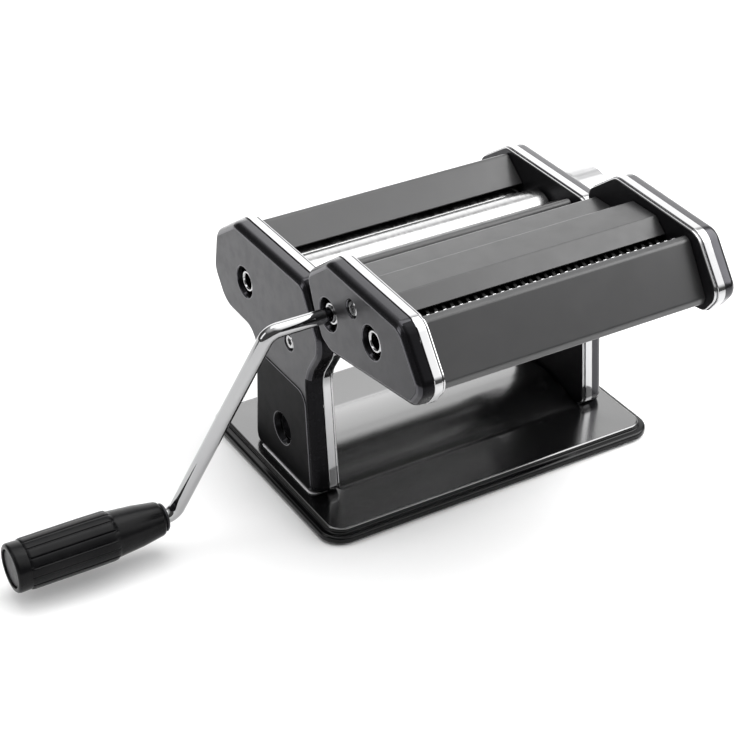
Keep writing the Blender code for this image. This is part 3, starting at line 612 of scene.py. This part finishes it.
def cover_levels(grow):
    outer = [(COVER_X, grow - 0.15), (82.5, grow), (86.2, grow - 0.15), (87.2, grow - 0.45),
             (87.9, grow - 0.8), (88.5, grow - 1.25), (89.0, grow - 1.75), (89.4, grow - 2.25),
             (89.68, grow - 2.7), (89.86, grow - 3.1), (89.96, grow - 3.45), (FACE_X, grow - 3.8)]
    inner = [(COVER_X, grow - 1.8), (86.6, grow - 2.6), (87.6, grow - 6.0)]
    return outer, inner


def frame_levels(grow):
    outer = [(82.2, grow - 0.3), (82.0, grow), (78.4, grow), (78.05, grow - 0.12),
             (77.85, grow - 0.5), (77.8, grow - 1.1), (77.3, grow - 1.15), (77.2, grow - 0.8),
             (76.9, grow - 0.65), (76.45, grow - 0.75), (76.12, grow - 1.1), (WEB_X, grow - 1.7)]
    inner = [(82.2, grow - 0.8), (82.0, grow - 1.1), (79.4, grow - 1.3), (78.4, grow - 2.0),
             (77.2, grow - 2.5)]
    return outer, inner


def straight_hole(side, radius):
    low, high = 70.0, 92.0
    return [(0.0, side * high), (radius, side * high), (radius, side * low), (0.0, side * low)]


def make_sides():
    for side, word in ((-1, "left"), (1, "right")):
        outer, inner = cover_levels(BODY_COVER_GROW)
        cutters = [(port(side, 4.6, 4.3), BODY_SCREW), (port(side, 8.3, 6.6), CLAMP_HOLE)]
        cutters.append((port(side, 8.3, 7.0), REAR_ROLLER) if side < 0 else
                       (port(side, 8.3, 8.2), FRONT_ROLLER))
        side_shell("body_side_" + word, BODY_CORNERS, outer, inner, side, FLOOR_Z, "machine_body",
                   PLASTIC, "body_cover_" + word, cutters)
        outer, inner = frame_levels(BODY_FRAME_GROW)
        cutters = [(straight_hole(side, 7.2), REAR_ROLLER), (straight_hole(side, 7.3), CLAMP_HOLE),
                   (straight_hole(side, 7.9), FRONT_ROLLER),
                   (straight_hole(side, 7.9), FRONT_ROLLER_OUT)]
        side_shell("body_pan_" + word, BODY_CORNERS, outer, inner, side, FLOOR_Z, "machine_body",
                   CHROME, "body_frame_" + word, cutters)
        outer, inner = cover_levels(CUTTER_COVER_GROW)
        cutters = [(port(side, 4.4, 4.1), CUTTER_SCREW)]
        if side < 0:
            cutters += [(port(side, 8.3, 7.0), WIDE_DRIVE), (port(side, 8.3, 7.0), NARROW_DRIVE)]
        side_shell("cutter_side_" + word, CUTTER_CORNERS, outer, inner, side, None,
                   "cutter_attachment", PLASTIC, "cutter_cover_" + word, cutters)
        outer, inner = frame_levels(CUTTER_FRAME_GROW)
        cutters = [(straight_hole(side, 4.4), axis)
                   for axis in (WIDE_DRIVE, WIDE_IDLE, NARROW_DRIVE, NARROW_IDLE)]
        side_shell("cutter_pan_" + word, CUTTER_CORNERS, outer, inner, side, None,
                   "cutter_attachment", CHROME, "cutter_frame_" + word, cutters)
        make_leg_pad(side, word)


def make_leg_pad(side, word):
    """Slightly raised panel on the lower leg, with a soft edge. Its plastic is a near-black, almost
    unreflecting copy that paints shade on the pad, and its edge faces take a glossy copy that
    paints a highlight.
    """
    corners = ((25.4, 66.0, 1.5), (-25.6, 66.0, 8.0), (-30.2, 9.0, 3.6), (27.4, 9.0, 2.4))
    rings = []
    for inset, x in ((0.0, 87.6), (0.0, 90.2), (0.2, 90.45), (0.6, 90.55)):
        rings.append([(side * x, p.x, p.y) for p in outline(corners, -inset)])
    bm = bmesh.new()
    add_loft(bm, rings)
    pad = finish_piece("leg_pad_" + word, bm, "machine_body", LEG_PLASTIC_PAINTED_SHADE, None)
    mouth = [(0.0, side * 92.0), (9.6, side * 92.0), (9.6, side * 90.65), (9.0, side * 90.3),
             (8.7, side * 89.5), (8.6, side * 86.0), (0.0, side * 86.0)]
    boolean_cut(pad, [(mouth, CLAMP_HOLE)])
    # Painted highlight: the pad's edge faces take the glossy copy of the plastic.
    pad.data.materials.append(EDGE_PLASTIC_PAINTED_HIGHLIGHT)
    for face in pad.data.polygons:
        if abs(face.center.x) > (FACE_X + 0.2) * MM and abs(face.normal.x) < 0.98:
            face.material_index = 1


def make_leg_seams():
    """Thin sole under each leg in near-white paint, a painted highlight along the leg's bottom
    edge, and a dark lining in each clamp hole that paints shade into it.
    """
    for side, word in ((-1, "left"), (1, "right")):
        corners = ((-76.6, -30.9, 0.6), (-76.6, 22.6, 0.6), (-90.8, 22.6, 2.4), (-90.8, -31.0, 3.4))
        rings = []
        for inset, z in ((0.0, 7.42), (0.0, 7.55), (0.4, 7.95)):
            rings.append([(-side * p.x, p.y, z) for p in outline(corners, inset)])
        bm = bmesh.new()
        add_loft(bm, rings)
        # Painted highlight: the sole is a thin near-white strip.
        finish_piece("leg_sole_" + word, bm, "machine_body", SEAM_PAINTED_HIGHLIGHT, None)
        # Painted shade: a dark sleeve that darkens the clamp hole.
        lining = ((6.6, 87.0), (7.15, 87.0), (7.15, 76.3), (6.6, 76.3))
        lining = [(r, side * x) for r, x in lining]
        turned_piece("clamp_painted_shade_lining_" + word, lining, CLAMP_HOLE, "machine_body", PLASTIC_DARK_AND_PAINTED_SHADE,
                     None, 40)


# ------------------------------------------------------------------ screws, sockets, knob
def make_screws():
    head = ((0.0, 87.9), (1.75, 87.9), (1.9, 89.35), (3.3, 89.5), (3.9, 89.0), (3.9, 86.9),
            (1.5, 86.7), (1.5, 79.6), (0.0, 79.6))

    def hex_flute(radius, x, angle):
        if radius > 1.95 or abs(x) < 87.0:
            return radius
        return radius * (1.0 + 0.12 * math.cos(6 * angle))
    for name, axis, body in (("body_screw", BODY_SCREW, "machine_body"),
                             ("cutter_screw", CUTTER_SCREW, "cutter_attachment")):
        for side, word in ((-1, "left"), (1, "right")):
            profile = [(r, side * x) for r, x in head]
            turned_piece("%s_detail_%s" % (name, word), profile, axis, body, SCREW_STEEL,
                         "%s_%s" % (name, word), 48, hex_flute)


def make_sockets():
    profile = ((3.95, -78.3), (5.9, -78.3), (5.9, -87.6), (5.3, -88.2), (4.5, -88.2), (3.95, -87.6))
    for name, axis, body in (("socket_sheet_rollers", REAR_ROLLER, "rear_roller"),
                             ("socket_wide_cutters", WIDE_DRIVE, "wide_drive"),
                             ("socket_narrow_cutters", NARROW_DRIVE, "narrow_drive")):
        turned_piece(name + "_sleeve", soften(profile, 0.25, keep_ends=False), axis, body, CHROME,
                     name, 48)


def make_knob():
    low, high = 91.2, 112.5
    profile = ((3.75, high - 2.6), (6.4, high - 2.6), (6.4, high), (15.4, high), (17.9, high - 2.0),
               (18.0, low + 3.0), (17.2, low + 1.0), (16.0, low), (13.0, low), (13.0, low + 7.0),
               (8.2, low + 7.0), (8.2, low), (3.75, low))

    def scallop(radius, x, angle):
        if radius < 16.5 or x < low + 3.2 or x > high - 1.0:
            return radius
        return radius - 0.14 * max(0.0, math.cos(24 * angle)) ** 2
    turned_piece("knob_body", soften(profile, 0.9, keep_ends=False), FRONT_ROLLER, "knob",
                 KNOB_METAL, "regulator_knob", 192, scallop)
    cap = ((0.0, high - 0.55), (4.6, high - 0.55), (5.9, high - 1.2), (5.9, high - 2.25),
           (0.0, high - 2.25))
    turned_piece("knob_cap_disc", soften(cap, 0.4), FRONT_ROLLER, "knob", PLASTIC_DARK_AND_PAINTED_SHADE, "knob_cap")


# ------------------------------------------------------------------ body works
def make_hoppers():
    rear = ((30.0, 115.6), (44.8, 127.0), (62.6, 113.0), (66.4, 92.4), (57.6, 79.8), (46.0, 79.8))
    front = ((-31.5, 102.8), (-24.5, 113.5), (-15.6, 127.0), (-1.0, 118.6))
    strip_piece("hopper_sheet_rear", rear, SHEET_HALF, SHEET_THICK, "machine_body", SHEET,
                "hopper_rear", 2.0)
    strip_piece("hopper_sheet_front", front, SHEET_HALF - 2.0, SHEET_THICK, "machine_body", SHEET,
                "hopper_front", 2.0)


def roller_profile(radius, half, journal=4.5):
    return ((0.0, 82.4), (4.0, 82.4), (4.0, 77.6), (journal, 77.6), (journal, half),
            (radius - 0.6, half), (radius, half - 0.6), (radius, -half + 0.6),
            (radius - 0.6, -half), (journal, -half), (journal, -77.9), (0.0, -77.9))


def make_rollers():
    for node, axis, body in (("sheet_roller_rear", REAR_ROLLER, "rear_roller"),
                             ("sheet_roller_front", FRONT_ROLLER, "front_roller")):
        turned_piece(node + "_bar", roller_profile(ROLLER_RADIUS, 74.8), axis, body,
                     ROLLER_STEEL, node, 128)


def ringed(radius, root, pitch, width, offset, half=74.0):
    """Profile of a ring cutter: rings of the given width on a pitch."""
    points = [(0.0, 82.4), (4.0, 82.4), (4.0, half), (root, half)]
    count = int(half / pitch) + 2
    soft = min(0.25, width * 0.2)
    for k in range(count, -count - 1, -1):
        high = min((k + offset) * pitch + width / 2, half - 0.2)
        low = max((k + offset) * pitch - width / 2, -half + 0.2)
        if high - low < 0.6:
            continue
        points += [(root, high), (radius - soft, high), (radius, high - soft), (radius, low + soft),
                   (radius - soft, low), (root, low)]
    return points + [(root, -half), (4.0, -half), (4.0, -77.9), (0.0, -77.9)]


def make_cutters():
    for node, axis, body, offset in (("wide_cutter_drive", WIDE_DRIVE, "wide_drive", 0.0),
                                     ("wide_cutter_idle", WIDE_IDLE, "wide_idle", 0.5)):
        turned_piece(node + "_rings", ringed(CUTTER_RADIUS, 7.6, WIDE_PITCH, 6.1, offset), axis,
                     body, CUTTER_STEEL, node, 72)
    # Painted shade: the narrow cutters take the near-black steel.
    for node, axis, body, offset in (("narrow_cutter_drive", NARROW_DRIVE, "narrow_drive", 0.0),
                                     ("narrow_cutter_idle", NARROW_IDLE, "narrow_idle", 0.5)):
        turned_piece(node + "_rings", ringed(CUTTER_RADIUS, 8.2, NARROW_PITCH, 1.9, offset), axis,
                     body, NARROW_STEEL_PAINTED_SHADE, node, 56)


def make_combs():
    places = (("comb_wide_drive", WIDE_DRIVE, 0.55, WIDE_PITCH, 0.5, 6.0, 7.9),
              ("comb_wide_idle", WIDE_IDLE, -0.45, WIDE_PITCH, 0.0, 6.0, 7.9),
              ("comb_narrow_drive", NARROW_DRIVE, 0.45, NARROW_PITCH, 0.5, 1.8, 8.5),
              ("comb_narrow_idle", NARROW_IDLE, -0.62, NARROW_PITCH, 0.0, 1.8, 8.5))
    for node, axis, lean, pitch, offset, width, reach in places:
        down = Vector((lean, -math.sqrt(1 - lean * lean)))
        across = Vector((-down.y, down.x))
        middle = Vector(axis) + down * COMB_DROP
        bm = bmesh.new()

        def block(x0, x1, a0, a1, d0, d1):
            ring = [middle + across * a + down * d
                    for a, d in ((a0, d0), (a1, d0), (a1, d1), (a0, d1))]
            add_loft(bm, [[(x, p.x, p.y) for p in ring] for x in (x0, x1)])
        block(-75.4, 75.4, -2.8, 2.8, -0.6, 0.6)
        count = int(72.0 / pitch)
        for k in range(-count, count + 1):
            x = (k + offset) * pitch
            if abs(x) + width / 2 < 73.5:
                block(x - width / 2, x + width / 2, -1.6, -0.6, reach - COMB_DROP, -0.55)
        # Painted shade: the narrow combs take the near-black steel.
        steel = NARROW_STEEL_PAINTED_SHADE if "narrow" in node else STRIP_STEEL
        finish_piece(node + "_teeth", bm, "cutter_attachment", steel, node,
                     weighted=False)


def make_scrapers():
    for node, axis, lean in (("scraper_rear", REAR_ROLLER, 0.5),
                             ("scraper_front", FRONT_ROLLER, -0.5)):
        down = Vector((lean, -math.sqrt(1 - lean * lean)))
        across = Vector((-down.y, down.x))
        middle = Vector(axis) + down * SCRAPER_DROP
        section = [middle - across * 5.0, middle - across * 1.0, middle + across * 5.0]
        strip_piece(node + "_blade", section, 75.0, 0.8, "machine_body", STRIP_STEEL, node,
                    0.5)


# ------------------------------------------------------------------ cutter plates
def make_cutter_plates():
    guide = ((-41.6, 110.6), (-36.6, 122.0), (-33.2, 136.0), (-51.6, 136.4))
    bar = ((-91.2, 141.2), (-83.3, 147.5), (-64.6, 147.3), (-64.6, 139.4))
    front = ((-119.6, 117.9), (-124.0, 118.6), (-125.0, 122.4), (-109.6, 146.6), (-106.4, 147.4),
             (-102.6, 143.4))
    for name, node, section, bend in (
            ("guide_sheet", "cutter_guide_plate", guide, 2.0),
            ("centre_bar_sheet", "cutter_centre_bar", bar, 1.0),
            ("front_cover_sheet", "cutter_front_cover", front, [0, 1.6, 1.6, 2.2, 1.8, 0])):
        strip_piece(name, section, SHEET_HALF, SHEET_THICK, "cutter_attachment", SHEET, node,
                    bend)
    make_slot_comb()


def make_slot_comb():
    """Dark plastic strip just behind the front cover's upper lip, painted shade in the cutter slot,
    with small bright metal teeth on it that paint the highlights on the narrow cutter rings'
    crests.
    """
    bm = bmesh.new()

    def block(x0, x1, low, high):
        ring = ((-102.2, low), (-101.7, low), (-101.7, high - 0.15), (-101.82, high),
                (-102.08, high), (-102.2, high - 0.15))
        add_loft(bm, [[(x, y, z) for y, z in ring] for x in (x0, x1)])
    block(-74.0, 74.0, 138.4, 144.3)
    # Painted shade: dark strip that keeps the slot black.
    finish_piece("slot_painted_shade_strip", bm, "cutter_attachment", PLASTIC_DARK_AND_PAINTED_SHADE, None,
                 weighted=False)
    bm = bmesh.new()
    pitch = 4.5
    for k in range(-16, 17):
        block(k * pitch - 0.8, k * pitch + 0.8, 144.35, 144.8)
    # Painted highlight: bright teeth standing for the glints on the ring crests.
    finish_piece("slot_painted_highlight_teeth", bm, "cutter_attachment", PAINTED_HIGHLIGHT_METAL, None,
                 weighted=False)


# ------------------------------------------------------------------ crank
def crank_path(steps=14):
    points = [Vector(p) for p in ((-79.5, *WIDE_DRIVE), (-121.5, *WIDE_DRIVE), (-164.2, *GRIP_AXIS),
                                  (-186.0, *GRIP_AXIS))]
    result = [points[0]]
    for before, corner, after in zip(points, points[1:], points[2:]):
        d_in = unit(corner - before)
        d_out = unit(after - corner)
        turn = d_in.angle(d_out)
        centre = corner + unit(d_out - d_in) * (ROD_BEND / math.cos(turn / 2))
        start = corner - d_in * ROD_BEND * math.tan(turn / 2) - centre
        axis = d_in.cross(d_out)
        result += [centre + Matrix.Rotation(turn * i / steps, 3, axis) @ start
                   for i in range(steps + 1)]
    result.append(points[-1])
    return result


def make_crank():
    path = crank_path()
    bm = bmesh.new()
    rings = []
    steps = 40
    ends = ((0.0, 0.45), (0.25, 0.85), (0.7, 1.0))
    first = unit(path[1] - path[0])
    last = unit(path[-1] - path[-2])
    stations = [(path[0] + first * a, first, ROD_RADIUS * s) for a, s in ends]
    for i in range(1, len(path) - 1):
        direction = unit(unit(path[i] - path[i - 1]) + unit(path[i + 1] - path[i]))
        stations.append((path[i], direction, ROD_RADIUS + ROD_SWELL))
    stations += [(path[-1] - last * a, last, ROD_RADIUS * s) for a, s in reversed(ends)]
    up = Vector((0.0, 0.0, 1.0))
    for place, direction, r in stations:
        up = unit(up - direction * up.dot(direction))
        across = direction.cross(up)
        rings.append([place + (up * math.cos(2 * math.pi * k / steps)
                               + across * math.sin(2 * math.pi * k / steps)) * r
                      for k in range(steps)])
    add_loft(bm, rings)
    # Painted shade: the crank rod takes the darker copy of the chrome.
    finish_piece("crank_bar", bm, "crank", CRANK_CHROME_PAINTED_SHADE, "crank_rod")
    collar = ((3.9, -169.3), (6.6, -169.3), (7.2, -169.9), (7.2, -170.6), (6.7, -171.1),
              (3.9, -171.1))
    turned_piece("crank_collar", collar, GRIP_AXIS, "crank", PLASTIC_DARK_AND_PAINTED_SHADE, "grip_collar")


def make_grip():
    high, low = -171.5, -250.6
    profile = [(3.95, high), (7.4, high), (8.3, high - 0.5), (8.8, high - 1.6), (10.6, high - 13.0),
               (11.7, high - 25.0), (11.8, high - 26.4)]
    ribs = [(12.55, high - 27.2), (12.75, high - 29.0), (12.9, high - 40.0), (12.9, high - 56.0),
            (12.9, high - 70.2), (12.7, high - 71.4)]
    tail = [(12.2, high - 71.9), (12.35, high - 73.0), (12.5, low + 1.8), (12.2, low + 0.8),
            (11.5, low + 0.2), (10.4, low + 0.05), (9.9, low + 0.15), (9.6, low + 0.8),
            (9.5, low + 2.4), (0.0, low + 2.4)]

    def ribbed(radius, x, angle):
        if radius < 12.5 or x > high - 27.0 or x < high - 71.6:
            return radius
        return radius - 0.6 * max(0.0, math.cos(16 * angle)) ** 16
    turned_piece("grip_body", profile + ribs + tail, GRIP_AXIS, "grip", GLOSS, "crank_grip",
                 216, ribbed, angle=40.0)
    cap = ((0.0, low + 2.3), (9.4, low + 2.3), (9.4, low + 1.2), (8.8, low + 1.0), (0.0, low + 1.0))
    turned_piece("grip_end_disc", soften(cap, 0.4), GRIP_AXIS, "grip", DISC_PLASTIC, "grip_cap",
                 72)


# ------------------------------------------------------------------ carried-over pieces
def repaint_kept_nodes():
    table = {
        SHEET: ("bottom_plate",),
        GEAR_STEEL: ("roller_gear_rear", "roller_gear_front", "wide_gear_drive", "wide_gear_idle",
                     "narrow_gear_drive", "narrow_gear_idle", "leg_bolt_1", "leg_bolt_2"),
        NATURAL: ("bush_rear_left", "bush_rear_right", "bush_front_left", "bush_front_right"),
        CHROME: ("rail_hook_left", "rail_hook_right"),
        STRIP_STEEL: ("body_tie_rod", "regulator_shaft"),
    }
    for material, names in table.items():
        for name in names:
            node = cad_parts[name]
            if not node.material_slots:
                node.data.materials.append(material)
            for entry in node.material_slots:
                entry.material = material


# ------------------------------------------------------------------ studio
# direction towards the light, cosine where it starts, cosine where it is full, strength
ROOM = (
    ((0.0, 0.0, 1.0), -1.01, -1.005, 0.12),
    ((0.43, 0.88, 0.18), 0.74, 0.966, 2.3),
    ((0.0, 0.1, 1.0), 0.55, 0.95, 0.9),
    ((0.55, -0.30, 0.78), 0.66, 0.97, 2.2),
)


def make_floor():
    bm = bmesh.new()
    bmesh.ops.create_grid(bm, x_segments=8, y_segments=8, size=1.3)
    mesh = bpy.data.meshes.new("studio_floor")
    bm.to_mesh(mesh)
    bm.free()
    floor = bpy.data.objects.new("studio_floor", mesh)
    floor.location = (0.0, 0.0, -0.0002)
    bpy.context.scene.collection.objects.link(floor)
    mesh.materials.append(PAPER)


def area_light(name, place, target, size, power):
    light = bpy.data.lights.new(name, 'AREA')
    light.shape = 'RECTANGLE'
    light.size, light.size_y = size
    light.energy = power
    obj = bpy.data.objects.new(name, light)
    obj.location = place
    direction = Vector(target) - Vector(place)
    obj.rotation_euler = direction.to_track_quat('-Z', 'Y').to_euler()
    bpy.context.scene.collection.objects.link(obj)


def lobe(tree, direction, low, high, strength):
    """Light from one part of the room: full at the direction, fading out to the sides."""
    coords = tree.nodes.new("ShaderNodeTexCoord")
    dot = tree.nodes.new("ShaderNodeVectorMath")
    dot.operation = 'DOT_PRODUCT'
    dot.inputs[1].default_value = unit(Vector(direction))
    tree.links.new(coords.outputs["Generated"], dot.inputs[0])
    ramp = tree.nodes.new("ShaderNodeMapRange")
    ramp.interpolation_type = 'SMOOTHSTEP'
    ramp.inputs["From Min"].default_value = low
    ramp.inputs["From Max"].default_value = high
    ramp.inputs["To Min"].default_value = 0.0
    ramp.inputs["To Max"].default_value = strength
    tree.links.new(dot.outputs["Value"], ramp.inputs["Value"])
    return ramp.outputs["Result"]


def make_world():
    """Soft room: dim all round, bright towards the back, overhead and the right front."""
    world = bpy.data.worlds.new("studio")
    world.use_nodes = True
    tree = world.node_tree
    total = None
    for direction, low, high, strength in ROOM:
        part = lobe(tree, direction, low, high, strength)
        if total is None:
            total = part
            continue
        add = tree.nodes.new("ShaderNodeMath")
        add.operation = 'ADD'
        tree.links.new(total, add.inputs[0])
        tree.links.new(part, add.inputs[1])
        total = add.outputs["Value"]
    background = tree.nodes["Background"]
    background.inputs["Color"].default_value = (1.0, 1.0, 1.0, 1.0)
    tree.links.new(total, background.inputs["Strength"])
    bpy.context.scene.world = world


def make_lights():
    make_world()
    area_light("top_softbox", (0.1, 0.25, 1.3), (0.0, 0.0, 0.08), (1.2, 0.9), 7.0)
    area_light("left_softbox", (-1.3, 0.3, 0.7), (0.0, 0.0, 0.08), (0.5, 0.8), 3.0)
    area_light("right_softbox", (0.40, -0.20, 0.40), (0.10, -0.05, 0.10), (0.4, 0.4), 1.8)


def make_camera():
    """The camera that the photograph was fitted to."""
    azimuth = math.radians(-30.654)
    elevation = math.radians(32.345)
    focal_px, centre_px = 1970.73, (369.2, 362.1)
    shift_right, shift_up, distance = 32.697, -35.469, 1071.52
    right = Vector((math.cos(azimuth), math.sin(azimuth), 0.0))
    back = Vector((math.sin(azimuth) * math.cos(elevation),
                   -math.cos(azimuth) * math.cos(elevation), math.sin(elevation)))
    up = back.cross(right)
    place = (right * -shift_right + up * -shift_up + back * distance) * MM
    data = bpy.data.cameras.new("camera")
    data.sensor_width = SENSOR_MM
    data.lens = focal_px / PHOTO_PX * SENSOR_MM
    data.shift_x = (PHOTO_PX / 2 - centre_px[0]) / PHOTO_PX
    data.shift_y = (centre_px[1] - PHOTO_PX / 2) / PHOTO_PX
    data.clip_start = 0.05
    data.clip_end = 20.0
    camera = bpy.data.objects.new("camera", data)
    rotation = Matrix((right, up, back)).transposed().to_4x4()
    camera.matrix_world = Matrix.Translation(place) @ rotation
    bpy.context.scene.collection.objects.link(camera)
    bpy.context.scene.camera = camera


make_base()
make_feet()
make_sides()
make_leg_seams()
make_screws()
make_sockets()
make_knob()
make_hoppers()
make_rollers()
make_cutters()
make_combs()
make_scrapers()
make_cutter_plates()
make_crank()
make_grip()
repaint_kept_nodes()
make_floor()
make_lights()
make_camera()
bpy.context.scene.view_settings.view_transform = 'Standard'
